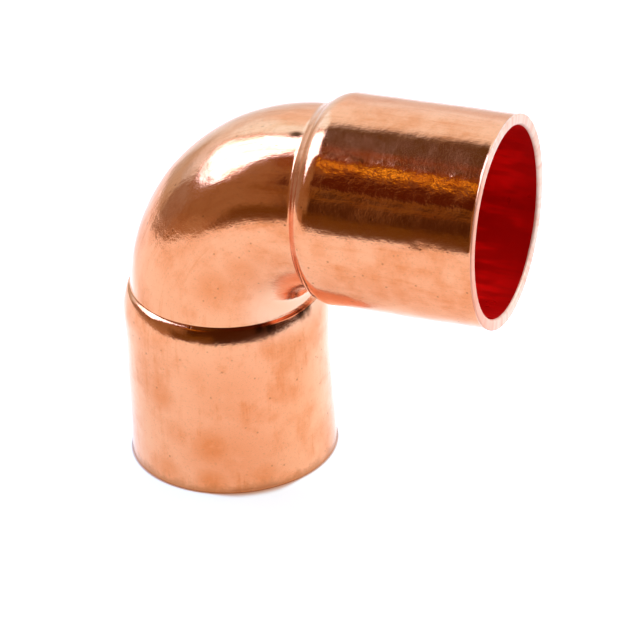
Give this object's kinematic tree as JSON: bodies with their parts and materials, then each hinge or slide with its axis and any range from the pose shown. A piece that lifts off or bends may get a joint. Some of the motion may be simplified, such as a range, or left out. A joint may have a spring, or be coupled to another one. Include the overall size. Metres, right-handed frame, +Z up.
{
  "type": "pipe elbow",
  "caption": "Right-angle copper pipe elbow: a smooth tube bend with a swelled solder socket at either end, for joining plain copper tubes.",
  "frame": {"origin": "on the plane of the lower mouth, under the middle of the elbow's box; the lower socket's axis is at x = -0.011375 m", "axes": "+Z up along the lower socket's axis, +X out of the side mouth, +Y across the plane of the bend"},
  "size_m": [0.047, 0.0242, 0.047],
  "materials": {
    "copper": "polished"
  },
  "bodies": {
    "root": {"elbow_body": "copper"}
  },
  "joints": []
}
